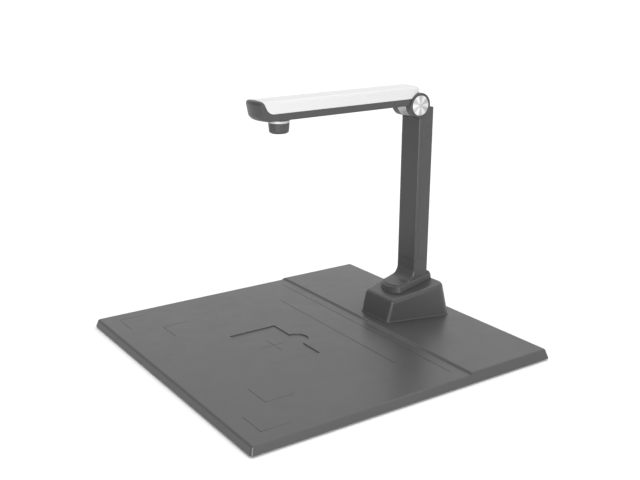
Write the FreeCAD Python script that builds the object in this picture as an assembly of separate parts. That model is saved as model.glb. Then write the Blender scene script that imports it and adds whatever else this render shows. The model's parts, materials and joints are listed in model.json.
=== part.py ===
import FreeCAD, Part
import math
import os

# Book scanner: a camera arm that folds on a column, over a flat copy stand.
# Millimetres. X is the reader's right, Y runs back to the column, Z is up.
# The origin is the centre of the base plate's footprint, at the table top.

V = FreeCAD.Vector

# ---- Driving dimensions -------------------------------------------------

# Base plate
PLATE_W = 336.0
PLATE_D = 348.0
PLATE_CORNER_R = 3.0
PAD_H = 1.5                      # the rubber feet stand this far below the plate
BED_Z = 9.2                      # sheet rests here
STRIP_Z = 11.0                   # raised rear strip that carries the foot
STRIP_Y = 71.2                   # crest of the soft ramp up to the strip
RAMP = 4.0
PLATE_DRAFT = 0.31               # inset of the side faces per mm of height
PLATE_EDGE_R = 2.4
COVER_T = 1.5
BED_T = 2.6

# Sheet marks on the bed: ISO A4 landscape and ISO A5 landscape, one centre
SHEET_CENTRE_Y = -48.0
A4_W, A4_D = 297.0, 210.0
A5_W, A5_D = 210.0, 148.0
MARK_LEG = 30.0
MARK_W = 0.6
MARK_DEPTH = 0.3
CROSS_ARM = 15.0

# Pocket for an ID-1 card, 85.6 x 54
CARD_W = 86.6
CARD_D = 55.0
CARD_DEPTH = 1.0
NOTCH_R = 13.0

# Foot
FOOT_Y0, FOOT_Y1 = 80.8, 157.8
FOOT_HALF_FRONT = 23.0
FOOT_HALF_BACK = 42.2
FOOT_FRONT_LEAN = 0.24           # how far each face leans in per mm of height
FOOT_BACK_LEAN = 0.13
FOOT_SIDE_LEAN_FRONT = 0.02
FOOT_SIDE_LEAN_BACK = 0.165
FOOT_TOP_Y, FOOT_TOP_Z = 90.0, 36.0   # a point on the sloping top
FOOT_SLOPE = 0.19
FOOT_LOFT_Z = 60.0               # the faces are drawn up to here, then cut by the top
FOOT_WALL = 2.5

# Collar: the flared lower end of the column
COLLAR_HALF = 17.0
COLLAR_Y0, COLLAR_Y1 = 96.5, 151.0
COLLAR_H = 7.0
STEP_H = 1.2                     # a second, smaller step on the collar's top
COLLAR_TOP_Z = 72.0
FLARE_R = 12.0

# Column
COL_HALF = 14.6
COL_Y0, COL_Y1 = 124.0, 142.7
COL_SEAM_Y = 128.2
COL_BEVEL = 1.2                  # bevel on the column's front corners
COL_TOP_Z = 237.6                # at the back; the top climbs towards the hinge
COL_TOP_SLOPE = 0.24
COL_WALL = 2.0
CORE_HALF_X = 10.0
CORE_Y0, CORE_Y1 = 128.6, 138.6
CORE_WALL = 1.4
CORE_Z0, CORE_Z1 = 13.0, 214.0

# Hinge
AXIS_Y, AXIS_Z = 123.75, 240.6
BARREL_R = 13.0
BARREL_HALF = 15.6               # the end caps stand a little proud of the arm
CRADLE_R = 13.5
SLEEVE_R = 12.7
SLEEVE_HALF = 6.85
DISC_R = 10.6
PIN_R = 3.0
RUN_FIT = 0.05
ARM_DROOP = 0.6                  # degrees below level at which the open arm comes to rest

# Arm
ARM_HALF = 14.0
# Everything on the arm is drawn level and turned by ARM_DROOP when it is exported
ARM_Z0, ARM_Z1 = 241.4, 260.4
ARM_FRONT_Y = -64.3              # front corner of the nose at the underside
ARM_REAR_Y = 115.6               # centre of the rounded rear end
NOSE_LEAN = 0.20                 # the nose leans forward per mm of height
NOSE_BULGE = 3.0
TAIL_R = 14.5                    # the rear end is rounded over in side view too
TAIL_OVER = 0.5                  # that curve runs just clear of the top and of the rear face
CROWN_R = 110.0                  # the top is slightly arched from side to side
CROWN_RISE = 0.5
TOE_R = 6.5                      # the underside sweeps up into the nose
SEAM_Z = 248.3
ARM_WALL = 2.0

# Camera
LENS_Y = -39.8
HOUSING_R = 10.35
HOUSING_Z0, HOUSING_Z1 = 227.5, 237.7
RING_Z1 = 240.0
BOARD_Z = 247.3
BOARD_T = 1.2


# ---- Helpers ------------------------------------------------------------

def box(x0, x1, y0, y1, z0, z1):
    return Part.makeBox(x1 - x0, y1 - y0, z1 - z0, V(x0, y0, z0))


def rod(x, y, z0, z1, r):
    """Upright cylinder."""
    return Part.makeCylinder(r, z1 - z0, V(x, y, z0), V(0, 0, 1))


def axle(x0, x1, r, y=AXIS_Y, z=AXIS_Z):
    """Cylinder along X, on the hinge axis unless told otherwise."""
    return Part.makeCylinder(r, x1 - x0, V(x0, y, z), V(1, 0, 0))


def cone(x, y, z0, z1, r0, r1):
    return Part.makeCone(r0, r1, z1 - z0, V(x, y, z0), V(0, 0, 1))


def wire(points):
    """Closed outline. A point given as a pair of vectors is an arc: (middle, end)."""
    edges = []
    here = points[0]
    for step in points[1:] + [points[0]]:
        if isinstance(step, tuple):
            edges.append(Part.Arc(here, step[0], step[1]).toShape())
            here = step[1]
        elif here.distanceToPoint(step) > 1e-6:
            edges.append(Part.makeLine(here, step))
            here = step
    return Part.Wire(edges)


def plan_prism(points, z0, z1):
    """Outline in plan, pushed up from z0 to z1."""
    flat = [lift(p, lambda a, b: V(a, b, z0)) for p in points]
    return Part.Face(wire(flat)).extrude(V(0, 0, z1 - z0))


def side_prism(points, x0, x1):
    """Outline in side view (y, z), pushed along X."""
    flat = [lift(p, lambda a, b: V(x0, a, b)) for p in points]
    return Part.Face(wire(flat)).extrude(V(x1 - x0, 0, 0))


def lift(point, place):
    """Turn (a, b) into a vector, and ((a, b), (c, d)) into an arc's pair."""
    if isinstance(point[0], tuple):
        return (place(*point[0]), place(*point[1]))
    return place(*point)


def rect_wire(half_x, y0, y1, r, z):
    """Rectangle with rounded corners, centred on x = 0."""
    s = r * (1.0 - math.sqrt(0.5))
    h = half_x
    return wire([
        V(-h + r, y0, z),
        V(h - r, y0, z),
        (V(h - s, y0 + s, z), V(h, y0 + r, z)),
        V(h, y1 - r, z),
        (V(h - s, y1 - s, z), V(h - r, y1, z)),
        V(-h + r, y1, z),
        (V(-h + s, y1 - s, z), V(-h, y1 - r, z)),
        V(-h, y0 + r, z),
        (V(-h + s, y0 + s, z), V(-h + r, y0, z)),
    ])


def tapered(half_x, y0, y1, r, z0, z1, draft):
    """Rounded rectangle with sides that lean in by draft per mm of height."""
    d = draft * (z1 - z0)
    lower = rect_wire(half_x, y0, y1, r, z0)
    upper = rect_wire(half_x - d, y0 + d, y1 - d, r, z1)
    return Part.makeLoft([lower, upper], True, True)


def fuse(first, *rest):
    solid = first
    for other in rest:
        solid = solid.fuse(other)
    return solid.removeSplitter()


def cut(solid, *tools):
    for tool in tools:
        solid = solid.cut(tool)
    return solid


def edges_where(solid, test):
    """Edges whose ends and middle all pass the test."""
    chosen = []
    for edge in solid.Edges:
        mid = edge.valueAt((edge.FirstParameter + edge.LastParameter) / 2.0)
        spots = [v.Point for v in edge.Vertexes] + [mid]
        if all(test(p) for p in spots):
            chosen.append(edge)
    return chosen


def upright_edges(solid, y0=-500.0, y1=500.0):
    """Edges that climb, between y0 and y1."""
    return [
        e for e in solid.Edges
        if abs(e.Vertexes[0].Z - e.Vertexes[-1].Z) > 10.0
        and e.BoundBox.YMin > y0 and e.BoundBox.YMax < y1]


def near(a, b, tol=0.02):
    return abs(a - b) < tol


def screw(x, y, z_head, z_tip, r, head_r, head_h, up=True):
    """Pan-head screw with a cross recess; its shank runs from z_head to z_tip."""
    sign = 1.0 if up else -1.0
    head = Part.makeCylinder(head_r, head_h, V(x, y, z_head), V(0, 0, -sign))
    shank = Part.makeCylinder(r, abs(z_tip - z_head), V(x, y, z_head), V(0, 0, sign))
    face = z_head - sign * head_h
    lo = min(face, face + sign * head_h * 0.5)
    hi = max(face, face + sign * head_h * 0.5)
    w = head_r * 0.14
    arm = head_r * 0.62
    recess = box(x - arm, x + arm, y - w, y + w, lo, hi).fuse(
        box(x - w, x + w, y - arm, y + arm, lo, hi))
    return head.fuse(shank).removeSplitter().cut(recess)


def export(name, *solids):
    shape = solids[0] if len(solids) == 1 else Part.makeCompound(list(solids))
    shape.exportStep("parts/" + name + ".step")


def export_arm(name, *solids):
    """Export a piece of the arm, turned about the hinge to where the arm rests."""
    turned = []
    for solid in solids:
        piece = solid.copy()
        piece.rotate(V(0, AXIS_Y, AXIS_Z), V(1, 0, 0), ARM_DROOP)
        turned.append(piece)
    export(name, *turned)


os.makedirs("parts", exist_ok=True)


# ---- Base plate ---------------------------------------------------------

half_w = PLATE_W / 2.0
half_d = PLATE_D / 2.0
plate_z0 = PAD_H
cover_z1 = plate_z0 + COVER_T
bed_under = BED_Z - BED_T
strip_under = STRIP_Z - 2.4


def plate_block(top_z):
    """The plate's outer form up to top_z, with its rounded upper edge."""
    block = tapered(half_w, -half_d, half_d, PLATE_CORNER_R, plate_z0, top_z, PLATE_DRAFT)
    rim = edges_where(block, lambda p: near(p.z, top_z))
    return block.makeFillet(PLATE_EDGE_R, rim)


# The ramp is two equal arcs, hollow below and round above
ramp_run = RAMP / 2.0
ramp_rise = (STRIP_Z - BED_Z) / 2.0
ramp_r = (ramp_run ** 2 + ramp_rise ** 2) / (2.0 * ramp_rise)
ramp_turn = math.asin(ramp_run / ramp_r) / 2.0
bulge_y = ramp_r * math.sin(ramp_turn)
bulge_z = ramp_r * (1.0 - math.cos(ramp_turn))
ramp_y0 = STRIP_Y - RAMP
strip_zone = side_prism([
    (ramp_y0, 0.0),
    (half_d + 1.0, 0.0),
    (half_d + 1.0, STRIP_Z + 1.0),
    (STRIP_Y, STRIP_Z + 1.0),
    (STRIP_Y, STRIP_Z),
    ((STRIP_Y - bulge_y, STRIP_Z - bulge_z), (STRIP_Y - ramp_run, STRIP_Z - ramp_rise)),
    ((ramp_y0 + bulge_y, BED_Z + bulge_z), (ramp_y0, BED_Z)),
], -half_w - 1.0, half_w + 1.0)
base_shell = fuse(plate_block(BED_Z), plate_block(STRIP_Z).common(strip_zone))

cavity_half = half_w - 5.5
cavity_y = half_d - 5.5
cover_half = half_w - 3.4
cover_y = half_d - 3.4
base_shell = cut(
    base_shell,
    box(-cavity_half, cavity_half, -cavity_y, STRIP_Y, 0.0, bed_under),
    box(-cavity_half, cavity_half, STRIP_Y, cavity_y, 0.0, strip_under),
    box(-cover_half, cover_half, -cover_y, cover_y, 0.0, cover_z1))

# Stiffening ribs and screw bosses under the plate
rib = 0.8                        # half a rib's thickness
rib_x = cavity_half + 0.5
rib_y = cavity_y + 0.5
ribs = []
for x in (-125.0, 125.0):
    ribs.append(box(x - rib, x + rib, -rib_y, STRIP_Y, cover_z1, bed_under + 0.5))
for x in (-125.0, -60.0, 60.0, 125.0):
    ribs.append(box(x - rib, x + rib, STRIP_Y, rib_y, cover_z1, strip_under + 0.5))
for y in (-120.0, -75.0, STRIP_Y):
    ribs.append(box(-rib_x, rib_x, y - rib, y + rib, cover_z1, bed_under + 0.5))

boss_places = []
for x in (-150.0, 0.0, 150.0):
    boss_places.append((x, -157.0))
    boss_places.append((x, 164.0))
boss_places += [(-150.0, 4.0), (150.0, 4.0)]
for x, y in boss_places:
    roof = strip_under if y > STRIP_Y else bed_under
    ribs.append(rod(x, y, cover_z1, roof + 0.5, 4.0))
base_shell = fuse(base_shell, *ribs)
for x, y in boss_places:
    base_shell = base_shell.cut(rod(x, y, cover_z1 - 0.1, cover_z1 + 3.4, 1.2 + RUN_FIT))

# Card pocket with its finger notch
card_y0 = SHEET_CENTRE_Y - CARD_D / 2.0
card_y1 = SHEET_CENTRE_Y + CARD_D / 2.0
pocket = box(-CARD_W / 2, CARD_W / 2, card_y0, card_y1, BED_Z - CARD_DEPTH, BED_Z + 1.0)
pocket = pocket.fuse(rod(0.0, card_y1, BED_Z - CARD_DEPTH, BED_Z + 1.0, NOTCH_R))
base_shell = base_shell.cut(pocket.removeSplitter())

# Engraved marks: front corners of A4 and A5, their back edges, and the centre cross


def groove(x0, x1, y0, y1, top):
    w = MARK_W / 2.0
    return box(min(x0, x1) - w, max(x0, x1) + w, min(y0, y1) - w, max(y0, y1) + w,
               top - MARK_DEPTH, top + 1.0)


marks = []
for sheet_w, sheet_d in ((A4_W, A4_D), (A5_W, A5_D)):
    front = SHEET_CENTRE_Y - sheet_d / 2.0
    back = SHEET_CENTRE_Y + sheet_d / 2.0
    edge = sheet_w / 2.0
    for side in (-1.0, 1.0):
        corner = side * edge
        marks.append(groove(corner, corner - side * MARK_LEG, front, front, BED_Z))
        marks.append(groove(corner, corner, front, front + MARK_LEG, BED_Z))
    marks.append(groove(-edge, edge, back, back, BED_Z))
pocket_floor = BED_Z - CARD_DEPTH
marks.append(groove(-CROSS_ARM, CROSS_ARM, SHEET_CENTRE_Y, SHEET_CENTRE_Y, pocket_floor))
marks.append(groove(0.0, 0.0, SHEET_CENTRE_Y - CROSS_ARM, SHEET_CENTRE_Y + CROSS_ARM, pocket_floor))
base_shell = cut(base_shell, *marks)

# Holes for the screws that hold the foot
foot_boss_places = [(-14.0, 93.0), (14.0, 93.0), (-29.0, 145.0), (29.0, 145.0)]
bracket_screw_places = [(-14.0, 118.0), (14.0, 118.0), (-14.0, 144.0), (14.0, 144.0)]
screw_r = 1.5
for x, y in foot_boss_places + bracket_screw_places:
    base_shell = base_shell.cut(rod(x, y, strip_under - 1.0, STRIP_Z + 1.0, screw_r + RUN_FIT))
export("base_top_shell", base_shell)

bottom_cover = Part.Face(rect_wire(cover_half - 0.2, -cover_y + 0.2, cover_y - 0.2, 1.0, plate_z0))
bottom_cover = bottom_cover.extrude(V(0, 0, COVER_T))
pad_places = []
for x in (-138.0, 138.0):
    for y in (-145.0, -10.0, 148.0):
        pad_places.append((x, y))
pad_r = 9.0
pad_sink = 0.6
for x, y in pad_places:
    bottom_cover = bottom_cover.cut(rod(x, y, plate_z0 - 1.0, plate_z0 + pad_sink, pad_r + RUN_FIT))
for x, y in boss_places:
    bottom_cover = cut(
        bottom_cover,
        rod(x, y, plate_z0 - 1.0, plate_z0 + 1.0, 2.6),
        rod(x, y, plate_z0, cover_z1 + 1.0, 1.2 + RUN_FIT))
export("base_bottom_cover", bottom_cover)

export("base_screws", *[
    screw(x, y, plate_z0 + 1.0, cover_z1 + 3.0, 1.2, 2.4, 0.9) for x, y in boss_places])

pads = []
for x, y in pad_places:
    pad = rod(x, y, 0.0, plate_z0 + pad_sink, pad_r)
    pads.append(pad.makeFillet(0.5, edges_where(pad, lambda p: near(p.z, 0.0))))
export("rubber_feet", *pads)

ballast = Part.Face(rect_wire(112.0, -34.0, 64.0, 6.0, cover_z1)).extrude(V(0, 0, 3.0))
export("ballast_plate", ballast)


# ---- Foot ---------------------------------------------------------------

def foot_wire(z, grow=0.0):
    """The foot's plan at height z: a trapezoid whose four faces all lean in."""
    h = z - STRIP_Z
    run = (FOOT_HALF_BACK - FOOT_HALF_FRONT) / (FOOT_Y1 - FOOT_Y0)
    y0 = FOOT_Y0 + FOOT_FRONT_LEAN * h
    y1 = FOOT_Y1 - FOOT_BACK_LEAN * h
    half0 = FOOT_HALF_FRONT + run * (y0 - FOOT_Y0) - FOOT_SIDE_LEAN_FRONT * h + grow
    half1 = FOOT_HALF_BACK - run * (FOOT_Y1 - y1) - FOOT_SIDE_LEAN_BACK * h + grow
    y0 -= grow
    y1 += grow
    return wire([V(-half0, y0, z), V(half0, y0, z), V(half1, y1, z), V(-half1, y1, z)])


def foot_top(y, below=0.0):
    return FOOT_TOP_Z + FOOT_SLOPE * (y - FOOT_TOP_Y) - below


def under_slope(below, y0=0.0, y1=200.0, z0=0.0):
    """Everything under a plane that lies the given distance below the foot's top."""
    return side_prism([
        (y0, z0), (y1, z0), (y1, foot_top(y1, below)), (y0, foot_top(y0, below))],
        -60.0, 60.0)


def foot_block(grow, below, r_front, r_back, z0):
    """The foot's outer form, or the same form grown or drawn in, under its sloping top."""
    block = Part.makeLoft([foot_wire(z0, grow), foot_wire(FOOT_LOFT_Z, grow)], True, True)
    block = block.makeFillet(r_front, upright_edges(block, y1=FOOT_Y0 + 30.0))
    block = block.makeFillet(r_back, upright_edges(block, y0=FOOT_Y1 - 30.0))
    return block.common(under_slope(below))


foot = foot_block(0.0, 0.0, 6.0, 9.0, STRIP_Z)
top_rim = edges_where(foot, lambda p: near(p.z, foot_top(p.y), 0.05))
foot = foot.makeFillet(5.0, top_rim)
lip = foot_block(0.5, 0.0, 6.4, 9.4, STRIP_Z).common(box(-60, 60, 0, 200, STRIP_Z, STRIP_Z + 1.0))
foot = fuse(foot, lip)
foot_inner = foot_block(-FOOT_WALL, FOOT_WALL + 0.4, 4.0, 7.0, STRIP_Z - 1.0)
foot = foot.cut(foot_inner)
for x, y in foot_boss_places:
    post = rod(x, y, STRIP_Z, 60.0, 4.2).common(under_slope(1.5))
    foot = foot.fuse(post)
    foot = foot.cut(rod(x, y, STRIP_Z - 1.0, STRIP_Z + 12.0, screw_r + RUN_FIT))
foot = foot.removeSplitter()

# Opening for the column, and the slot of the USB socket in the back wall
socket_half = 4.5
USB_Y, USB_Z = 147.5, 18.0
socket_z0, socket_z1 = USB_Z + BOARD_T, USB_Z + BOARD_T + 3.2
foot = cut(
    foot,
    box(-CORE_HALF_X - 3.0, CORE_HALF_X + 3.0, CORE_Y0 - 3.0, CORE_Y1 + 3.0, 30.0, 60.0),
    box(-socket_half - 0.2, socket_half + 0.2, FOOT_Y1 - 12.0, FOOT_Y1 + 5.0,
        socket_z0 - 0.2, socket_z1 + 0.2))
export("foot_housing", foot)

# Steel bracket: a plate on the strip with a socket that grips the column's core
grip = 1.6
bracket = box(-18.0, 18.0, 112.0, 152.5, STRIP_Z, STRIP_Z + 2.0)
bracket = fuse(
    bracket,
    box(-CORE_HALF_X - grip, CORE_HALF_X + grip, CORE_Y0 - grip, CORE_Y1 + grip, STRIP_Z, 30.0),
    rod(-8.0, USB_Y, STRIP_Z, USB_Z, 2.4),
    rod(8.0, USB_Y, STRIP_Z, USB_Z, 2.4))
bracket = bracket.cut(box(
    -CORE_HALF_X - RUN_FIT, CORE_HALF_X + RUN_FIT,
    CORE_Y0 - RUN_FIT, CORE_Y1 + RUN_FIT, CORE_Z0, 40.0))
for x, y in bracket_screw_places:
    bracket = bracket.cut(rod(x, y, STRIP_Z - 1.0, STRIP_Z + 3.0, screw_r + RUN_FIT))
for x in (-8.0, 8.0):
    bracket = bracket.cut(rod(x, USB_Y, USB_Z - 4.0, USB_Z + 1.0, 0.9 + RUN_FIT))
export("foot_bracket", bracket)

foot_screws = [screw(x, y, strip_under, STRIP_Z + 9.0, screw_r, 2.9, 1.8) for x, y in foot_boss_places]
foot_screws += [
    screw(x, y, strip_under, STRIP_Z + 3.0, screw_r, 2.9, 1.8) for x, y in bracket_screw_places]
export("foot_screws", *foot_screws)

usb_board = box(-12.0, 12.0, CORE_Y1 + 4.0, FOOT_Y1 - 4.6, USB_Z, USB_Z + BOARD_T)
for x in (-8.0, 8.0):
    usb_board = usb_board.cut(rod(x, USB_Y, USB_Z - 1.0, USB_Z + 2.0, 0.9 + RUN_FIT))
export("usb_board", usb_board)

socket_y1 = FOOT_Y1 - FOOT_BACK_LEAN * (socket_z1 - STRIP_Z) - 0.3
usb_socket = box(-socket_half, socket_half, socket_y1 - 7.6, socket_y1, socket_z0, socket_z1)
usb_socket = usb_socket.cut(box(
    -socket_half + 0.4, socket_half - 0.4, socket_y1 - 6.6, socket_y1 + 1.0,
    socket_z0 + 0.4, socket_z1 - 0.4))
tongue_z = (socket_z0 + socket_z1) / 2.0
usb_socket = fuse(usb_socket, box(
    -3.2, 3.2, socket_y1 - 7.0, socket_y1 - 1.0, tongue_z - 0.35, tongue_z + 0.35))
export("usb_socket", usb_socket)

export("usb_board_screws", *[
    screw(x, USB_Y, USB_Z + BOARD_T, USB_Z - 3.0, 0.9, 1.8, 1.0, up=False) for x in (-8.0, 8.0)])


# ---- Column -------------------------------------------------------------

def collar_wire(z, inset):
    """Collar in plan: straight sides and back, and a bowed nose."""
    h = COLLAR_HALF - inset
    y0 = COLLAR_Y0 + inset
    y1 = COLLAR_Y1 - inset
    shoulder = COLLAR_Y0 + 8.0
    return wire([V(-h, y1, z), V(-h, shoulder, z), (V(0, y0, z), V(h, shoulder, z)), V(h, y1, z)])


skirt = Part.makeLoft([collar_wire(30.0, -1.2), collar_wire(66.0, 3.6)], True, True)
skirt = skirt.makeFillet(3.5, upright_edges(skirt))
skirt = skirt.common(under_slope(-COLLAR_H)).cut(under_slope(0.0, z0=-10.0))
skirt_rim = edges_where(skirt, lambda p: near(p.z, foot_top(p.y, -COLLAR_H), 0.05))
skirt = skirt.makeFillet(1.6, skirt_rim)

platform = Part.makeLoft([collar_wire(30.0, 1.0), collar_wire(66.0, 6.4)], True, True)
platform = platform.makeFillet(3.0, upright_edges(platform))
platform = platform.common(under_slope(-COLLAR_H - STEP_H)).cut(under_slope(-COLLAR_H + 2.0, z0=-10.0))
platform = platform.makeFillet(0.7, edges_where(
    platform, lambda p: near(p.z, foot_top(p.y, -COLLAR_H - STEP_H), 0.05)))

# The flare sweeps from the step up into the column's front face
slope_angle = math.atan(FOOT_SLOPE)
flare_cy = COL_Y0 - FLARE_R
flare_cz = foot_top(flare_cy, -COLLAR_H - STEP_H) + FLARE_R / math.cos(slope_angle)
toe = (flare_cy + FLARE_R * math.sin(slope_angle), flare_cz - FLARE_R * math.cos(slope_angle))
mid_angle = (math.pi / 2.0 - slope_angle) / 2.0
flare_mid = (flare_cy + FLARE_R * math.cos(mid_angle), flare_cz - FLARE_R * math.sin(mid_angle))
flare = side_prism([
    (toe[0], toe[1] - 4.0),
    (COL_Y1, toe[1] - 4.0),
    (COL_Y1, COLLAR_TOP_Z),
    (COL_Y0, COLLAR_TOP_Z),
    (COL_Y0, flare_cz),
    (flare_mid, toe),
], -COL_HALF, COL_HALF)
# Its front corners carry the same bevel as the column, swept round the curve
flare = flare.makeChamfer(COL_BEVEL, edges_where(
    flare, lambda p: near(abs(p.x), COL_HALF) and p.y < COL_Y0 + 0.05 and p.z > toe[1] - 0.05))
flare = flare.makeFillet(1.0, edges_where(
    flare, lambda p: near(abs(p.x), COL_HALF) and near(p.y, COL_Y1)))
ridge_top = foot_top(COL_Y1 + 3.0, -COLLAR_H - STEP_H) + 1.2
back_ridge = box(-COL_HALF + 0.6, COL_HALF - 0.6, COL_Y1 + 0.6, COL_Y1 + 4.0, 44.0, ridge_top)
back_ridge = back_ridge.makeFillet(1.0, edges_where(
    back_ridge, lambda p: near(p.z, back_ridge.BoundBox.ZMax)))
below_skirt = under_slope(0.0, z0=-10.0)
collar = fuse(skirt, platform, flare.cut(below_skirt), back_ridge.cut(below_skirt))
collar = cut(
    collar,
    box(-CORE_HALF_X - RUN_FIT, CORE_HALF_X + RUN_FIT, CORE_Y0 - RUN_FIT, CORE_Y1 + RUN_FIT, 20.0, 90.0))
export("column_collar", collar)

# Two long shells close round the core; their top is a cradle for the hinge barrel
column = side_prism([
    (COL_Y0, COLLAR_TOP_Z),
    (COL_Y1, COLLAR_TOP_Z),
    (COL_Y1, COL_TOP_Z),
    (COL_Y0, COL_TOP_Z + COL_TOP_SLOPE * (COL_Y1 - COL_Y0)),
], -COL_HALF, COL_HALF)
column = column.makeChamfer(COL_BEVEL, edges_where(
    column, lambda p: near(abs(p.x), COL_HALF) and near(p.y, COL_Y0)))
column = column.makeFillet(1.0, edges_where(
    column, lambda p: near(abs(p.x), COL_HALF) and near(p.y, COL_Y1)))
hollow_top = side_prism([
    (COL_Y0 + COL_WALL, COLLAR_TOP_Z - 1.0),
    (COL_Y1 - COL_WALL, COLLAR_TOP_Z - 1.0),
    (COL_Y1 - COL_WALL, COL_TOP_Z - COL_WALL),
    (COL_Y0 + COL_WALL, COL_TOP_Z - COL_WALL),
], -COL_HALF + COL_WALL, COL_HALF - COL_WALL).cut(axle(-20.0, 20.0, CRADLE_R + COL_WALL))
tongue_half = SLEEVE_HALF - 0.3
slot_y0, slot_y1 = COL_Y0 + COL_WALL, AXIS_Y + 12.0
column = cut(
    column,
    hollow_top,
    axle(-20.0, 20.0, CRADLE_R),
    box(-tongue_half - 0.4, tongue_half + 0.4, slot_y0, slot_y1, 214.0, 250.0))
seam = 0.15
front_part = column.common(box(-20, 20, 100.0, COL_SEAM_Y, 0.0, 300.0))
rear_part = column.common(box(-20, 20, COL_SEAM_Y, 200.0, 0.0, 300.0))
# A shallow groove marks the joint between the two shells
joint_line = cut(
    box(-20, 20, COL_SEAM_Y - seam, COL_SEAM_Y + seam, COLLAR_TOP_Z - 1.0, 300.0),
    box(-COL_HALF + 0.4, COL_HALF - 0.4, 0.0, 200.0, 0.0, 300.0))
column_screw_z = (96.0, 152.0, 205.0)
core_mid_y = (CORE_Y0 + CORE_Y1) / 2.0
rear_part = rear_part.cut(joint_line)
front_part = front_part.cut(joint_line)
for z in column_screw_z:
    tunnel = Part.makeCylinder(1.2 + RUN_FIT, 20.0, V(0, CORE_Y1 - 2.0, z), V(0, 1, 0))
    head_seat = Part.makeCylinder(2.6, 5.0, V(0, COL_Y1 - 1.0, z), V(0, 1, 0))
    spacer = Part.makeCylinder(3.6, COL_Y1 - 1.0 - CORE_Y1, V(0, CORE_Y1, z), V(0, 1, 0))
    rear_part = cut(rear_part.fuse(spacer), tunnel, head_seat)
export("column_front_cover", front_part.removeSplitter())
export("column_rear_shell", rear_part.removeSplitter())

core = box(-CORE_HALF_X, CORE_HALF_X, CORE_Y0, CORE_Y1, CORE_Z0, CORE_Z1)
core = core.cut(box(
    -CORE_HALF_X + CORE_WALL, CORE_HALF_X - CORE_WALL,
    CORE_Y0 + CORE_WALL, CORE_Y1 - CORE_WALL, CORE_Z0 - 1.0, CORE_Z1 + 1.0))
for z in column_screw_z:
    core = core.cut(Part.makeCylinder(1.2 + RUN_FIT, 5.0, V(0, CORE_Y1 - 3.0, z), V(0, 1, 0)))
export("column_core", core)

column_screws = []
for z in column_screw_z:
    one = screw(0.0, 0.0, 0.0, -6.5, 1.2, 2.4, 0.8, up=False)
    one.rotate(V(0, 0, 0), V(1, 0, 0), -90.0)
    one.translate(V(0.0, COL_Y1 - 1.0, z))
    column_screws.append(one)
export("column_screws", *column_screws)


# ---- Hinge, fixed side --------------------------------------------------

plug_half = CORE_HALF_X - CORE_WALL - RUN_FIT
plug_y0 = CORE_Y0 + CORE_WALL + RUN_FIT
plug_y1 = CORE_Y1 - CORE_WALL - RUN_FIT
hinge_bracket = fuse(
    box(-plug_half, plug_half, plug_y0, plug_y1, 190.0, CORE_Z1),
    box(-tongue_half, tongue_half, slot_y0 + 0.4, slot_y1 - 0.4, CORE_Z1, AXIS_Z - 4.0),
    axle(-tongue_half, tongue_half, SLEEVE_R - 1.8))
hinge_bracket = cut(
    hinge_bracket,
    axle(-10.0, 10.0, PIN_R),
    box(-10.0, 10.0, AXIS_Y, 160.0, AXIS_Z - 6.0, AXIS_Z + 20.0).cut(
        axle(-10.0, 10.0, SLEEVE_R - 1.8)))
for z in column_screw_z[2:]:
    hinge_bracket = hinge_bracket.cut(
        Part.makeCylinder(1.2 + RUN_FIT, 6.0, V(0, plug_y1 - 4.0, z), V(0, 1, 0)))
export("hinge_bracket", hinge_bracket)

sleeve = cut(
    axle(-SLEEVE_HALF, SLEEVE_HALF, SLEEVE_R),
    axle(-10.0, 10.0, SLEEVE_R - 1.8 + RUN_FIT),
    box(-10.0, 10.0, slot_y0 + 0.2, slot_y1 - 0.2, 200.0, AXIS_Z))
export("hinge_sleeve", sleeve)

# Stack on the pin, outwards from the bracket: washer, yoke cheek, washer, then head or nut
washer_t = 0.6
cheek_t = 1.8
cheek_gap = 0.35
cheek_x = tongue_half + washer_t + cheek_gap
stack_x = cheek_x + cheek_t + cheek_gap + washer_t
pin_end = stack_x + 2.6
pin = fuse(axle(-stack_x - 2.0, pin_end, PIN_R), axle(-stack_x - 2.0, -stack_x, 5.4))
pin = pin.makeChamfer(0.5, edges_where(pin, lambda p: near(p.x, pin_end)))
export("hinge_pin", pin)

washers = []
for x in (-stack_x, -tongue_half - washer_t, tongue_half, stack_x - washer_t):
    washers.append(axle(x, x + washer_t, 7.0).cut(axle(x - 1.0, x + 2.0, PIN_R + RUN_FIT)))
export("friction_washers", *washers)

nut_outline = []
for k in range(6):
    a = math.radians(60.0 * k + 30.0)
    nut_outline.append((AXIS_Y + 5.8 * math.cos(a), AXIS_Z + 5.8 * math.sin(a)))
nut = side_prism(nut_outline, stack_x, stack_x + 2.0).cut(axle(0.0, 30.0, PIN_R + RUN_FIT))
export("hinge_nut", nut)


# ---- Arm shells ---------------------------------------------------------

def arm_block(inset):
    """The arm's outer form, or the same form drawn in by an even wall."""
    half = ARM_HALF - inset
    z0 = ARM_Z0 + inset
    height = ARM_Z1 + 3.0 - z0
    front_y = ARM_FRONT_Y + inset - NOSE_LEAN * inset
    front = [
        V(-half, 60.0, z0),
        V(-half, front_y, z0),
        (V(0, front_y - NOSE_BULGE, z0), V(half, front_y, z0)),
        V(half, 60.0, z0),
    ]
    nose = Part.Face(wire(front)).extrude(V(0, -NOSE_LEAN * height, height))
    nose = nose.makeFillet(TOE_R - inset, edges_where(
        nose, lambda p: near(p.z, z0) and p.y < front_y + 0.1))
    rear_plan = [(-half, 20.0), (half, 20.0), (half, ARM_REAR_Y)]
    rear_plan.append(((0.0, ARM_REAR_Y + half), (-half, ARM_REAR_Y)))
    block = fuse(nose, plan_prism(rear_plan, z0, z0 + height))
    top = ARM_Z1 + CROWN_RISE - inset
    crown = Part.makeCylinder(CROWN_R, 300.0, V(0, -120.0, top - CROWN_R), V(0, 1, 0))
    return block.common(crown)


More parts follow.
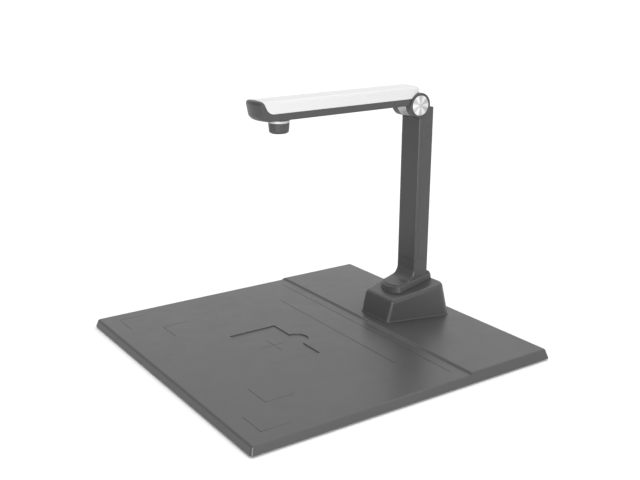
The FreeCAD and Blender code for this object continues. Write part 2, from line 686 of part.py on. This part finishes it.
def tail_zone(inset):
    """Side view of everything in front of the rounded-over rear end."""
    r = TAIL_R - inset
    y = ARM_REAR_Y + ARM_HALF + TAIL_OVER - TAIL_R
    z = ARM_Z1 + CROWN_RISE + TAIL_OVER - TAIL_R
    s = r * math.sqrt(0.5)
    return side_prism([
        (-200.0, 200.0),
        (y + r, 200.0),
        (y + r, z),
        ((y + s, z + s), (y, z + r)),
        (-200.0, z + r),
    ], -20.0, 20.0)


arm = arm_block(0.0)
arm = arm.makeFillet(3.0, edges_where(arm, lambda p: p.z > ARM_Z1 - 0.8))
arm = arm.common(tail_zone(0.0))

inner = arm_block(ARM_WALL).common(tail_zone(ARM_WALL))

seam_curve = [
    (-65.0, 270.0),
    (-65.0, ARM_Z1 + 0.4),
    (-61.2, SEAM_Z + 4.9),
    ((-57.9, SEAM_Z + 1.35), (-53.2, SEAM_Z)),
    (160.0, SEAM_Z),
    (160.0, 270.0),
]
upper_zone = side_prism(seam_curve, -20.0, 20.0)

knuckle_x = SLEEVE_HALF + 0.4
knuckles = [axle(-ARM_HALF, -knuckle_x, BARREL_R), axle(knuckle_x, ARM_HALF, BARREL_R)]
hardware_r = BARREL_R - 1.8

lower = arm.cut(upper_zone)
# Boss under the arm that carries the camera housing
lower = fuse(lower, cone(0.0, LENS_Y, RING_Z1, ARM_Z0, 11.2, 13.6), *knuckles)
lower_hollow = inner.common(box(-20, 20, -58.0, AXIS_Y - BARREL_R - 1.5, 0.0, 300.0))
lower = cut(
    lower,
    lower_hollow,
    axle(-knuckle_x, knuckle_x, BARREL_R + 0.3),
    axle(-ARM_HALF - 1.0, ARM_HALF + 1.0, hardware_r),
    rod(0.0, LENS_Y, 230.0, 250.0, 8.05))
# Slots through the barrel wall for the yoke's cheeks
slot_z0, slot_z1 = ARM_Z0 + ARM_WALL, 251.0
cheeks = [(-cheek_x - cheek_t, -cheek_x), (cheek_x, cheek_x + cheek_t)]
for x0, x1 in cheeks:
    lower = lower.cut(box(
        x0 - 0.3, x1 + 0.3, AXIS_Y - BARREL_R - 3.0, AXIS_Y - 5.0, slot_z0, slot_z1))

# Standoffs for the camera board, seats for the screws
board_half = 10.5
board_y0, board_y1 = -57.0, -4.0
board_screw_places = [(-8.0, -54.0), (8.0, -54.0), (-8.0, -8.0), (8.0, -8.0)]
floor = ARM_Z0 + ARM_WALL
for x, y in board_screw_places:
    lower = lower.fuse(rod(x, y, floor - 0.5, BOARD_Z, 2.2))
    lower = lower.cut(rod(x, y, floor, BOARD_Z + 1.0, 0.9 + RUN_FIT))
arm_screw_places = [(0.0, 12.0), (0.0, 52.0)]
for x, y in arm_screw_places:
    lower = lower.fuse(rod(x, y, floor - 0.5, floor + 1.6, 4.0))
    lower = cut(
        lower,
        rod(x, y, ARM_Z0 - 1.0, ARM_Z0 + 1.6, 2.6),
        rod(x, y, ARM_Z0, floor + 3.0, 1.2 + RUN_FIT))
yoke_screw_places = [(-4.0, 74.0), (4.0, 74.0), (-4.0, 96.0), (4.0, 96.0)]
for x, y in yoke_screw_places:
    lower = cut(
        lower,
        rod(x, y, ARM_Z0 - 1.0, ARM_Z0 + 0.9, 2.2),
        rod(x, y, ARM_Z0, floor + 1.0, 1.0 + RUN_FIT))
export_arm("arm_lower_shell", lower.removeSplitter())

cover_gap = 0.1
cover = arm.common(upper_zone)
cover_hollow = inner.common(box(-20, 20, -57.5, 200.0, 0.0, 300.0))
cover = cut(cover, cover_hollow, axle(-20.0, 20.0, BARREL_R + cover_gap))
for x, y in arm_screw_places:
    cover = cover.fuse(rod(x, y, floor + 1.6, ARM_Z1 - 1.0, 3.2))
    cover = cover.cut(rod(x, y, floor, floor + 9.0, 1.2 + RUN_FIT))
export_arm("arm_top_cover", cover.removeSplitter())

export_arm("arm_screws", *[
    screw(x, y, ARM_Z0 + 1.6, floor + 8.0, 1.2, 2.4, 1.2) for x, y in arm_screw_places])

# Steel yoke: it runs on the pin and is screwed to the arm's floor
yoke_t = 2.0
yoke = box(-11.4, 11.4, 66.0, 104.0, floor, floor + yoke_t)
for x0, x1 in cheeks:
    cheek = side_prism([
        (70.0, floor),
        (104.0, floor),
        (116.0, floor + 0.8),
        (116.0, 250.0),
        (92.0, 250.0),
        (78.0, floor + 4.0),
        (70.0, floor + 4.0),
    ], x0, x1)
    yoke = yoke.fuse(cheek).fuse(axle(x0, x1, hardware_r - 0.4))
yoke = yoke.removeSplitter().cut(axle(-20.0, 20.0, PIN_R + RUN_FIT))
for x, y in yoke_screw_places:
    yoke = yoke.cut(rod(x, y, floor - 1.0, floor + 4.0, 1.0 + RUN_FIT))
export_arm("hinge_yoke", yoke)

export_arm("yoke_screws", *[
    screw(x, y, ARM_Z0 + 0.9, floor + yoke_t + 0.6, 1.0, 2.0, 0.7) for x, y in yoke_screw_places])

# Ends of the barrel: on each side a dark cap with a turned metal disc let into it
disc_t = 1.0
for side, name in ((1.0, "right"), (-1.0, "left")):
    cap = fuse(
        axle(ARM_HALF, BARREL_HALF, BARREL_R),
        axle(ARM_HALF - 2.0, ARM_HALF, hardware_r - RUN_FIT))
    cap = cap.makeFillet(0.6, edges_where(cap, lambda p: near(p.x, BARREL_HALF)))
    cap = cut(
        cap,
        axle(ARM_HALF - 3.0, ARM_HALF - 0.6, 8.4),
        axle(BARREL_HALF - disc_t, BARREL_HALF + 1.0, DISC_R))
    disc = axle(BARREL_HALF - disc_t, BARREL_HALF - 0.1, DISC_R - RUN_FIT)
    disc = disc.makeFillet(0.4, edges_where(disc, lambda p: near(p.x, BARREL_HALF - 0.1)))
    if side < 0:
        cap = cap.mirror(V(0, 0, 0), V(1, 0, 0))
        disc = disc.mirror(V(0, 0, 0), V(1, 0, 0))
    export_arm("hinge_cap_" + name, cap)
    export_arm("hinge_disc_" + name, disc)


# ---- Camera -------------------------------------------------------------

board = box(-board_half, board_half, board_y0, board_y1, BOARD_Z, BOARD_Z + BOARD_T)
for x, y in board_screw_places:
    board = board.cut(rod(x, y, BOARD_Z - 1.0, BOARD_Z + 3.0, 0.9 + RUN_FIT))
export_arm("camera_board", board)

chips = [
    box(-5.0, 5.0, -30.0, -20.0, BOARD_Z + BOARD_T, BOARD_Z + BOARD_T + 1.1),
    box(-4.0, 4.0, -47.0, -41.0, BOARD_Z + BOARD_T, BOARD_Z + BOARD_T + 0.9),
    box(-3.0, 3.0, -16.0, -11.0, BOARD_Z + BOARD_T, BOARD_Z + BOARD_T + 2.6),
]
export_arm("board_components", *chips)

export_arm("board_screws", *[
    screw(x, y, BOARD_Z + BOARD_T, floor + 1.4, 0.9, 1.8, 1.0, up=False) for x, y in board_screw_places])

sensor = box(-4.2, 4.2, LENS_Y - 3.4, LENS_Y + 3.4, BOARD_Z - 1.0, BOARD_Z)
export_arm("image_sensor", sensor)

barrel_r = 6.0
holder_r = 7.1
holder = fuse(
    box(-8.0, 8.0, LENS_Y - 8.0, LENS_Y + 8.0, floor + 0.1, BOARD_Z),
    rod(0.0, LENS_Y, HOUSING_Z1, floor + 0.1, holder_r))
holder = cut(
    holder,
    rod(0.0, LENS_Y, 230.0, floor + 0.2, barrel_r + RUN_FIT),
    rod(0.0, LENS_Y, floor, BOARD_Z + 1.0, barrel_r + RUN_FIT))
export_arm("lens_holder", holder)

lens_z0, lens_z1 = HOUSING_Z0 + 3.0, BOARD_Z - 1.9
lens_barrel = cut(
    rod(0.0, LENS_Y, lens_z0, lens_z1, barrel_r),
    rod(0.0, LENS_Y, lens_z0 + 1.6, lens_z1 - 1.0, 4.2),
    cone(0.0, LENS_Y, lens_z0 - 0.01, lens_z0 + 1.61, 5.2, 4.2),
    rod(0.0, LENS_Y, lens_z1 - 2.0, lens_z1 + 1.0, 3.4))
export_arm("lens_barrel", lens_barrel)

# Front and rear glass elements, ground on their outer faces
front_glass = rod(0.0, LENS_Y, lens_z0 + 1.6, lens_z0 + 4.2, 4.15)
front_glass = front_glass.common(Part.makeSphere(8.0, V(0, LENS_Y, lens_z0 + 9.2)))
rear_glass = rod(0.0, LENS_Y, lens_z1 - 6.0, lens_z1 - 4.0, 4.15)
export_arm("lens_elements", front_glass, rear_glass)

spigot_r = 7.95
housing = Part.makeCone(
    HOUSING_R - 0.9, HOUSING_R, HOUSING_Z1 - HOUSING_Z0, V(0, LENS_Y, HOUSING_Z0), V(0, 0, 1))
housing = housing.makeFillet(2.6, edges_where(housing, lambda p: near(p.z, HOUSING_Z0)))
housing = fuse(housing, rod(0.0, LENS_Y, HOUSING_Z1 - 0.5, floor - 0.6, spigot_r))
housing = cut(
    housing,
    rod(0.0, LENS_Y, HOUSING_Z0 + 1.8, 250.0, holder_r + RUN_FIT),
    rod(0.0, LENS_Y, HOUSING_Z0 + 0.6, HOUSING_Z0 + 2.0, 6.4),
    rod(0.0, LENS_Y, HOUSING_Z0 - 1.0, HOUSING_Z0 + 1.0, 5.4))
export_arm("lens_housing", housing)

export_arm("lens_window", rod(0.0, LENS_Y, HOUSING_Z0 + 0.6, HOUSING_Z0 + 1.6, 6.4 - RUN_FIT))

ring = cut(
    rod(0.0, LENS_Y, HOUSING_Z1, RING_Z1, HOUSING_R),
    rod(0.0, LENS_Y, 230.0, 245.0, spigot_r + RUN_FIT))
export_arm("lens_ring", ring)
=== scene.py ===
import json
import math

import bpy
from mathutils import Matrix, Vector

# Book scanner: procedural materials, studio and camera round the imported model.
# Metres throughout. Z is up and the arm reaches forward along -Y.

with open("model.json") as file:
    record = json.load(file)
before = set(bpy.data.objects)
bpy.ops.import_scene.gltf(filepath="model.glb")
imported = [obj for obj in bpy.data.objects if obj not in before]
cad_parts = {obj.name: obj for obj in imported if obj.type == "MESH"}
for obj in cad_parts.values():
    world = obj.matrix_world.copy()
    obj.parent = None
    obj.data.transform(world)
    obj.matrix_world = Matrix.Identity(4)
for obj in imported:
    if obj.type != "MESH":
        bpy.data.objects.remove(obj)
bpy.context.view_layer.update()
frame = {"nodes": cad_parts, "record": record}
nodes = frame["nodes"]

MM = 0.001
HINGE_Y, HINGE_Z = 0.12375, 0.2406       # the arm's axis, which runs along X
EDGE_SAMPLES = 8                         # rays per point for the eased edges
DISC_CENTRE_R = 0.3 * MM                 # no direction is worked out closer to the disc's middle

# Studio
FLOOR_R = 1.3
FLOOR_DROP = 0.2 * MM                    # the floor lies this far below the rubber feet
SKY_FRONT, SKY_BACK = 0.28, 1.09         # the room is darker on the reader's side
SKY_FADE_FROM, SKY_FADE_TO = -0.85, 0.25 # Y of the direction over which it brightens
# name, place, aim, size, watts
SOFTBOXES = (
    ("top_light", (-0.3, 0.5, 1.9), (0.0, 0.0, 0.05), (1.6, 1.6), 14.5),
    ("side_light", (1.7, 0.55, 0.75), (0.0, 0.05, 0.15), (1.1, 1.0), 2.5),
    ("front_light", (1.05, -1.06, 0.36), (0.0, 0.08, 0.12), (0.35, 0.45), 14.0),
)

# Camera
CAMERA_PLACE = (0.7231, -0.4942, 0.3751)
CAMERA_PITCH, CAMERA_TURN = 73.094, 56.347   # degrees from straight down, and round Z
SENSOR_WIDTH, LENS = 36.0, 50.64             # mm
SHIFT_X, SHIFT_Y = 0.0275, 0.005


# ---- Material graphs ------------------------------------------------------

class Graph:
    """A material's node tree, with short calls for the nodes used here."""

    def __init__(self, name):
        self.material = bpy.data.materials.new(name)
        self.material.use_nodes = True
        self.tree = self.material.node_tree
        self.shader = self.tree.nodes["Principled BSDF"]
        self.place = self.add("ShaderNodeTexCoord").outputs["Object"]

    def add(self, kind, **settings):
        made = self.tree.nodes.new(kind)
        for key, value in settings.items():
            setattr(made, key, value)
        return made

    def wire(self, source, target):
        if hasattr(source, "links"):
            self.tree.links.new(source, target)
        else:
            target.default_value = source

    def math(self, operation, a, b=0.0, clamp=False):
        made = self.add("ShaderNodeMath", operation=operation, use_clamp=clamp)
        self.wire(a, made.inputs[0])
        self.wire(b, made.inputs[1])
        return made.outputs[0]

    def noise(self, scale, detail=2.0, rough=0.5, at=None, distortion=0.0):
        made = self.add("ShaderNodeTexNoise")
        made.inputs["Scale"].default_value = scale
        made.inputs["Detail"].default_value = detail
        made.inputs["Roughness"].default_value = rough
        made.inputs["Distortion"].default_value = distortion
        self.wire(at or self.place, made.inputs["Vector"])
        return made.outputs["Fac"]

    def cells(self, scale, output="Distance"):
        made = self.add("ShaderNodeTexVoronoi", feature="F1")
        made.inputs["Scale"].default_value = scale
        self.wire(self.place, made.inputs["Vector"])
        return made.outputs[output]

    def stretch(self, scale):
        """Coordinates scaled by a different amount along each axis."""
        made = self.add("ShaderNodeMapping")
        made.inputs["Scale"].default_value = scale
        self.wire(self.place, made.inputs["Vector"])
        return made.outputs[0]

    def split(self, at=None):
        made = self.add("ShaderNodeSeparateXYZ")
        self.wire(at or self.place, made.inputs[0])
        return made.outputs

    def join(self, x, y, z):
        made = self.add("ShaderNodeCombineXYZ")
        for source, target in zip((x, y, z), made.inputs):
            self.wire(source, target)
        return made.outputs[0]

    def span(self, value, low, high, to_low=0.0, to_high=1.0):
        """Maps low..high onto to_low..to_high, and stops at both ends."""
        made = self.add("ShaderNodeMapRange")
        self.wire(value, made.inputs["Value"])
        limits = {"From Min": low, "From Max": high, "To Min": to_low, "To Max": to_high}
        for key, number in limits.items():
            made.inputs[key].default_value = number
        return made.outputs[0]

    def mix(self, amount, first, second):
        made = self.add("ShaderNodeMix", data_type="RGBA")
        self.wire(amount, made.inputs["Factor"])
        self.wire(first, made.inputs["A"])
        self.wire(second, made.inputs["B"])
        return made.outputs["Result"]

    def bump(self, height, distance, strength=1.0, onto=None):
        made = self.add("ShaderNodeBump")
        made.inputs["Strength"].default_value = strength
        made.inputs["Distance"].default_value = distance
        self.wire(height, made.inputs["Height"])
        if onto is not None:
            self.wire(onto, made.inputs["Normal"])
        return made.outputs[0]

    def rounded(self, radius):
        """Surface normal with every edge of the piece eased over by the radius."""
        eased = self.add("ShaderNodeBevel", samples=EDGE_SAMPLES)
        eased.inputs["Radius"].default_value = radius
        return eased.outputs[0]

    def edges(self, radius):
        """1 along the piece's edges within the radius, 0 on its open faces."""
        plain = self.add("ShaderNodeNewGeometry").outputs["Normal"]
        dot = self.add("ShaderNodeVectorMath", operation="DOT_PRODUCT")
        self.wire(self.rounded(radius), dot.inputs[0])
        self.wire(plain, dot.inputs[1])
        return self.span(dot.outputs["Value"], 0.99, 0.80)

    def radius_and_angle(self, y, z):
        """For an axis along X: place along it, distance, angle round it as -1..1, and both offsets."""
        along, across_y, across_z = self.split()
        dy = self.math("SUBTRACT", across_y, y)
        dz = self.math("SUBTRACT", across_z, z)
        squares = self.math("ADD", self.math("MULTIPLY", dy, dy), self.math("MULTIPLY", dz, dz))
        far = self.math("SQRT", squares)
        turn = self.math("DIVIDE", self.math("ARCTAN2", dz, dy), math.pi)
        return along, far, turn, dy, dz

    def set(self, **values):
        """Sets sockets of the shader: numbers directly, node outputs by a link."""
        for key, value in values.items():
            self.wire(value, self.shader.inputs[key.replace("_", " ")])


def grey(level, tint=0.0):
    return (level * (1 - tint), level, level * (1 + tint), 1.0)


def moulded_plastic(name, level, rough=0.38, grain=2600.0, wear_and_highlight=0.35, ior=1.46, ease=1.0 * MM):
    """Textured injection-moulded plastic: spark-eroded grain, handling sheen, and edges paler from wear and
    from a painted highlight.
    """
    tint = 0.006
    smudge = 0.04
    g = Graph(name)
    fine = g.noise(grain, 3.0, 0.62)
    pits = g.cells(grain * 0.42)
    broad = g.noise(9.0, 3.0, 0.55)
    handled = g.noise(34.0, 4.0, 0.6, distortion=0.6)
    patchy = g.span(g.noise(240.0, 3.0), 0.35, 0.7, 0.25, 1.0)
    edge_band = g.math("MULTIPLY", g.edges(0.7 * MM), patchy)
    base = g.mix(g.span(broad, 0.3, 0.7), grey(level * 0.965, tint), grey(level * 1.035, tint))
    base = g.mix(g.span(fine, 0.35, 0.68, 0.0, 0.22), base, grey(level * 1.30, tint))
    # Painted highlight and wear: the edges are mixed towards a much paler grey, in patches.
    base = g.mix(g.math("MULTIPLY", edge_band, wear_and_highlight), base, grey(level * 1.9 + 0.02, tint))
    sheen = g.span(handled, 0.3, 0.72, rough - smudge, rough + smudge)
    gloss = g.math("ADD", sheen, g.span(fine, 0.3, 0.7, -0.04, 0.04))
    gloss = g.math("SUBTRACT", gloss, g.math("MULTIPLY", edge_band, 0.10), clamp=True)
    height = g.math("ADD", fine, g.math("MULTIPLY", pits, 0.6))
    normal = g.bump(height, 0.03 * MM, 0.5, g.rounded(ease))
    g.set(Base_Color=base, Roughness=gloss, Normal=normal, IOR=ior)
    return g.material


def satin_cover(name, level):
    """Smooth moulded plastic with faint orange peel, dust-fine speckle and painted shade along the edges."""
    g = Graph(name)
    peel = g.noise(620.0, 2.0, 0.4)
    speck = g.noise(5200.0, 2.0, 0.5)
    broad = g.noise(14.0, 3.0, 0.5)
    base = g.mix(g.span(broad, 0.3, 0.7), grey(level * 0.985, 0.003), grey(level, -0.002))
    # Darker along the edges: painted shade, as in the crease between top and side.
    edge_band = g.math("MULTIPLY", g.edges(0.5 * MM), 0.18)
    base = g.mix(edge_band, base, grey(level * 0.86))
    gloss = g.math("ADD", g.span(broad, 0.3, 0.7, 0.27, 0.36), g.span(speck, 0.3, 0.7, -0.025, 0.025))
    normal = g.bump(peel, 0.02 * MM, 0.35, g.bump(speck, 0.008 * MM, 0.4))
    g.set(Base_Color=base, Roughness=gloss, Normal=normal, IOR=1.52)
    g.set(Coat_Weight=0.12, Coat_Roughness=0.12)
    return g.material


def turned_metal(name, level, y, z, rough):
    """Aluminium turned on a lathe about an axis along X: fine lines run round the axis."""
    tint = 0.004
    g = Graph(name)
    along, far, turn, _, _ = g.radius_and_angle(y, z)
    tool_path = g.math("MULTIPLY", g.math("ADD", far, along), 9000.0)
    lines = g.noise(1.0, 3.0, 0.65, at=g.join(tool_path, g.math("MULTIPLY", turn, 1.2), 0.0))
    drift = g.noise(60.0, 2.0, 0.5)
    dull, bright = grey(level * 0.86, tint), grey(level * 1.06, tint)
    base = g.mix(g.span(lines, 0.25, 0.75), dull, bright)
    streaks = g.span(lines, 0.2, 0.8, rough - 0.06, rough + 0.07)
    gloss = g.math("ADD", streaks, g.span(drift, 0.3, 0.7, -0.03, 0.03))
    g.set(Base_Color=base, Metallic=1.0, Roughness=gloss, Normal=g.bump(lines, 0.012 * MM, 0.5))
    g.set(Anisotropic=0.55)
    return g.material


def spun_disc(name, y, z):
    """Spun disc: bright and dark wedge shapes round the middle are a painted highlight in the base colour,
    standing in for the light that the tool's fine rings break up; the rings themselves are a faint bump under
    anisotropic gloss.
    """
    g = Graph(name)
    _, far, turn, dy, dz = g.radius_and_angle(y, z)
    reach = g.math("MAXIMUM", far, DISC_CENTRE_R)
    unit_y = g.math("DIVIDE", dy, reach)
    unit_z = g.math("DIVIDE", dz, reach)
    ray = g.join(unit_y, unit_z, 0.0)
    swirl = g.math("MULTIPLY", g.math("SUBTRACT", g.noise(3.0, 1.0, 0.4, at=ray), 0.5), 0.02)
    part = g.math("ADD", g.math("MULTIPLY", turn, 0.5), swirl)

    def wave(count, shift):
        """A cosine that goes up and down count times round the disc."""
        phase = g.math("MULTIPLY", part, 2.0 * math.pi * count)
        return g.math("COSINE", g.math("ADD", phase, shift))

    # Painted highlight: six bright sectors round the disc, with one half brighter than the other, go into the
    # base colour.
    narrow = g.math("MULTIPLY", wave(6.0, 0.0), 0.65)
    painted_wedges = g.math("ADD", narrow, g.math("MULTIPLY", wave(1.0, math.pi), 0.35))
    base = g.mix(g.span(painted_wedges, -0.8, 0.8), grey(0.40), grey(0.88))
    fine = g.noise(22.0, 3.0, 0.7, at=ray)
    hair = g.noise(120.0, 2.0, 0.7, at=g.join(unit_y, unit_z, g.math("MULTIPLY", far, 2.5)))
    rings = g.noise(1.0, 2.0, 0.6, at=g.join(g.math("MULTIPLY", far, 5200.0), 0.0, 0.0))
    base = g.mix(g.span(fine, 0.3, 0.7, 0.0, 0.16), base, grey(0.86))
    base = g.mix(g.span(hair, 0.3, 0.7, 0.0, 0.18), base, grey(0.55))
    # Towards the middle the base colour turns an even mid grey.
    base = g.mix(g.span(far, 3.5 * MM, 0.0), base, grey(0.50))
    gloss = g.math("ADD", g.span(fine, 0.3, 0.7, 0.24, 0.36), g.span(rings, 0.3, 0.7, -0.03, 0.03))
    height = g.math("ADD", g.math("MULTIPLY", hair, 0.4), g.math("MULTIPLY", rings, 0.6))
    tangent = g.add("ShaderNodeTangent", direction_type="RADIAL", axis="X").outputs[0]
    g.set(Base_Color=base, Metallic=1.0, Roughness=gloss, Normal=g.bump(height, 0.015 * MM, 0.5))
    g.set(Anisotropic=0.6, Tangent=tangent)
    return g.material


def plated_steel(name, level, rough=0.34):
    """Zinc-plated or bright steel: crystal mottling, draw marks and a faint tarnish."""
    tint = 0.01
    g = Graph(name)
    spangle = g.cells(420.0, output="Color")
    tone = g.split(spangle)[0]
    draw = g.noise(1.0, 3.0, 0.6, at=g.stretch((180.0, 3800.0, 3800.0)))
    tarnish = g.noise(70.0, 4.0, 0.6)
    base = g.mix(g.span(tone, 0.0, 1.0), grey(level * 0.88, tint), grey(level * 1.06, tint))
    base = g.mix(g.span(tarnish, 0.5, 0.75, 0.0, 0.35), base, (level * 0.72, level * 0.68, level * 0.60, 1.0))
    streaks = g.span(draw, 0.3, 0.7, rough - 0.07, rough + 0.08)
    gloss = g.math("ADD", streaks, g.span(tarnish, 0.3, 0.7, -0.03, 0.08))
    g.set(Base_Color=base, Metallic=1.0, Roughness=gloss, Normal=g.bump(draw, 0.01 * MM, 0.4))
    return g.material


def soft_rubber(name):
    """Dull black rubber with settled dust."""
    g = Graph(name)
    grain = g.noise(1900.0, 3.0, 0.6)
    dust = g.noise(120.0, 4.0, 0.6)
    base = g.mix(g.span(dust, 0.45, 0.75, 0.0, 0.5), grey(0.018), grey(0.06))
    gloss = g.span(dust, 0.3, 0.7, 0.72, 0.88)
    g.set(Base_Color=base, Roughness=gloss, Normal=g.bump(grain, 0.06 * MM, 0.6), IOR=1.45)
    return g.material


def circuit_board(name):
    """Green solder mask over a fine grid of copper runs, with tinned pads."""
    g = Graph(name)
    brick = g.add("ShaderNodeTexBrick")
    brick.inputs["Scale"].default_value = 420.0
    brick.inputs["Mortar Size"].default_value = 0.06
    g.wire(g.place, brick.inputs["Vector"])
    runs = brick.outputs["Fac"]
    pads = g.span(g.cells(300.0), 0.16, 0.12)
    base = g.mix(runs, (0.012, 0.11, 0.045, 1.0), (0.03, 0.20, 0.08, 1.0))
    base = g.mix(pads, base, (0.62, 0.60, 0.52, 1.0))
    gloss = g.span(g.noise(500.0), 0.3, 0.7, 0.22, 0.36)
    normal = g.bump(g.math("ADD", runs, pads), 0.04 * MM, 0.5)
    g.set(Base_Color=base, Roughness=gloss, Metallic=g.math("MULTIPLY", pads, 0.9), Normal=normal)
    return g.material


def moulded_chip(name):
    """Black epoxy chip package."""
    g = Graph(name)
    grain = g.noise(4200.0, 3.0, 0.6)
    sheen = g.noise(380.0, 2.0, 0.5)
    base = g.mix(g.span(grain, 0.3, 0.7), grey(0.012), grey(0.03))
    gloss = g.span(sheen, 0.3, 0.7, 0.38, 0.55)
    g.set(Base_Color=base, Roughness=gloss, Normal=g.bump(grain, 0.02 * MM, 0.5))
    return g.material


def lens_glass(name):
    """Coated glass: clear, with a trace of violet bloom and wipe marks."""
    g = Graph(name)
    wipe = g.noise(1.0, 3.0, 0.6, at=g.stretch((260.0, 900.0, 260.0)))
    bloom = g.noise(90.0, 2.0, 0.5)
    base = g.mix(g.span(bloom, 0.3, 0.7), (0.86, 0.90, 0.98, 1.0), (0.94, 0.90, 0.98, 1.0))
    gloss = g.span(wipe, 0.4, 0.8, 0.01, 0.05)
    g.set(Base_Color=base, Roughness=gloss, Transmission_Weight=0.95, IOR=1.52)
    g.set(Coat_Weight=0.4, Coat_Roughness=0.03, Coat_Tint=(0.75, 0.70, 1.0, 1.0))
    return g.material


# ---- One material per slot --------------------------------------------------

materials = {
    "base_grey": moulded_plastic("base_plastic", 0.060, rough=0.36, grain=2300.0, ior=1.43,
                                 ease=0.5 * MM),
    "dark_grey": moulded_plastic("body_plastic", 0.052, rough=0.40, grain=2900.0),
    "white_cover": satin_cover("cover_plastic", 0.59),
    "silver_trim": turned_metal("turned_trim", 0.53, HINGE_Y, HINGE_Z, rough=0.56),
    "turned_disc": spun_disc("spun_disc", HINGE_Y, HINGE_Z),
    "cast_metal": plated_steel("cast_bracket", 0.42, rough=0.46),
    "sheet_steel": plated_steel("plated_sheet", 0.58),
    "fastener_steel": plated_steel("screw_steel", 0.62, rough=0.26),
    "washer_steel": plated_steel("washer_steel", 0.40, rough=0.30),
    "rubber": soft_rubber("foot_rubber"),
    "circuit_board": circuit_board("board_mask"),
    "chip_black": moulded_chip("chip_mould"),
    "lens_black": moulded_plastic("lens_black", 0.02, rough=0.6, grain=3200.0, wear_and_highlight=0.2),
    "lens_glass": lens_glass("coated_glass"),
    "plated_shell": plated_steel("socket_plating", 0.70, rough=0.18),
}

slot_of = {entry["node"]: entry["material_slot"] for entry in frame["record"]["subparts"]}
for node_name, made in nodes.items():
    made.data.materials.clear()
    made.data.materials.append(materials[slot_of[node_name]])


# ---- Studio ---------------------------------------------------------------

def floor_material():
    """Pale matte board with a faint unevenness."""
    g = Graph("studio_floor")
    tone = g.noise(3.0, 3.0, 0.5)
    base = g.mix(g.span(tone, 0.3, 0.7), grey(0.91), grey(0.93))
    g.set(Base_Color=base, Roughness=g.span(tone, 0.3, 0.7, 0.75, 0.85),
          Normal=g.bump(g.noise(800.0), 0.05 * MM, 0.2))
    return g.material


bpy.ops.mesh.primitive_circle_add(
    vertices=96, radius=FLOOR_R, fill_type="NGON", location=(0.0, 0.0, -FLOOR_DROP))
floor = bpy.context.object
floor.name = "studio_floor"
floor.data.materials.append(floor_material())

world = bpy.data.worlds.new("studio")
bpy.context.scene.world = world
world.use_nodes = True
sky = world.node_tree
towards = sky.nodes.new("ShaderNodeSeparateXYZ")
sky.links.new(sky.nodes.new("ShaderNodeTexCoord").outputs["Generated"], towards.inputs[0])
fade = sky.nodes.new("ShaderNodeMapRange")
fade.interpolation_type = "SMOOTHSTEP"
sky_limits = {"From Min": SKY_FADE_FROM, "From Max": SKY_FADE_TO, "To Min": SKY_FRONT, "To Max": SKY_BACK}
for key, number in sky_limits.items():
    fade.inputs[key].default_value = number
sky.links.new(towards.outputs["Y"], fade.inputs["Value"])
sky.links.new(fade.outputs[0], sky.nodes["Background"].inputs["Strength"])
sky.nodes["Background"].inputs["Color"].default_value = (1.0, 1.0, 1.0, 1.0)


def softbox(name, place, aim, size, power):
    light = bpy.data.lights.new(name, "AREA")
    light.shape = "RECTANGLE"
    light.size, light.size_y = size
    light.energy = power
    lamp = bpy.data.objects.new(name, light)
    bpy.context.collection.objects.link(lamp)
    lamp.location = place
    lamp.rotation_euler = (Vector(aim) - Vector(place)).to_track_quat("-Z", "Y").to_euler()


for softbox_values in SOFTBOXES:
    softbox(*softbox_values)

# ---- Camera ---------------------------------------------------------------

camera_data = bpy.data.cameras.new("camera")
camera_data.sensor_width = SENSOR_WIDTH
camera_data.lens = LENS
camera_data.shift_x = SHIFT_X
camera_data.shift_y = SHIFT_Y
camera = bpy.data.objects.new("camera", camera_data)
bpy.context.collection.objects.link(camera)
camera.location = CAMERA_PLACE
camera.rotation_euler = (math.radians(CAMERA_PITCH), 0.0, math.radians(CAMERA_TURN))
bpy.context.scene.camera = camera
bpy.context.scene.view_settings.view_transform = "Standard"
